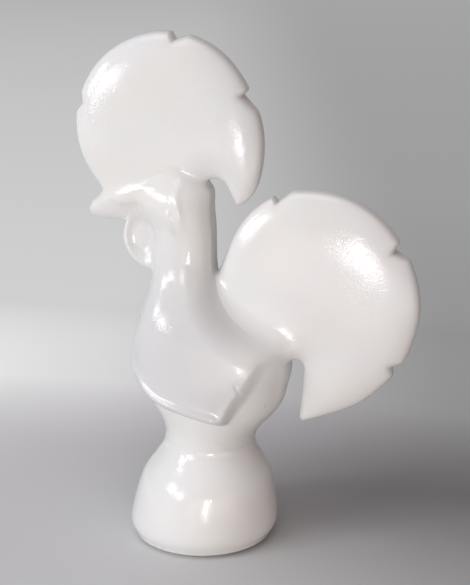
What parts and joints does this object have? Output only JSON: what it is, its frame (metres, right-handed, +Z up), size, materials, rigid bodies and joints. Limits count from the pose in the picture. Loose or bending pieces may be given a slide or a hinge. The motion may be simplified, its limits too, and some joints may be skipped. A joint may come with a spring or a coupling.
{
  "type": "rooster ornament",
  "caption": "Standing ceramic rooster ornament with a round notched comb, a round notched tail disc, a stubby beak, a wattle and a waisted hollow bell foot.",
  "frame": {"origin": "middle of the foot ring, on the surface that it stands on", "axes": "+Z up, the bird faces -X, its left side is -Y"},
  "size_m": [0.1979, 0.088, 0.2999],
  "materials": {
    "white_glaze": "glossy off-white tin glaze over earthenware, slightly grainy"
  },
  "bodies": {
    "root": {"bell_foot": "white_glaze", "belly_cup": "white_glaze", "left_body_half": "white_glaze", "right_body_half": "white_glaze", "left_comb_half": "white_glaze", "right_comb_half": "white_glaze", "left_tail_half": "white_glaze", "right_tail_half": "white_glaze", "beak": "white_glaze", "wattle": "white_glaze"}
  },
  "joints": []
}
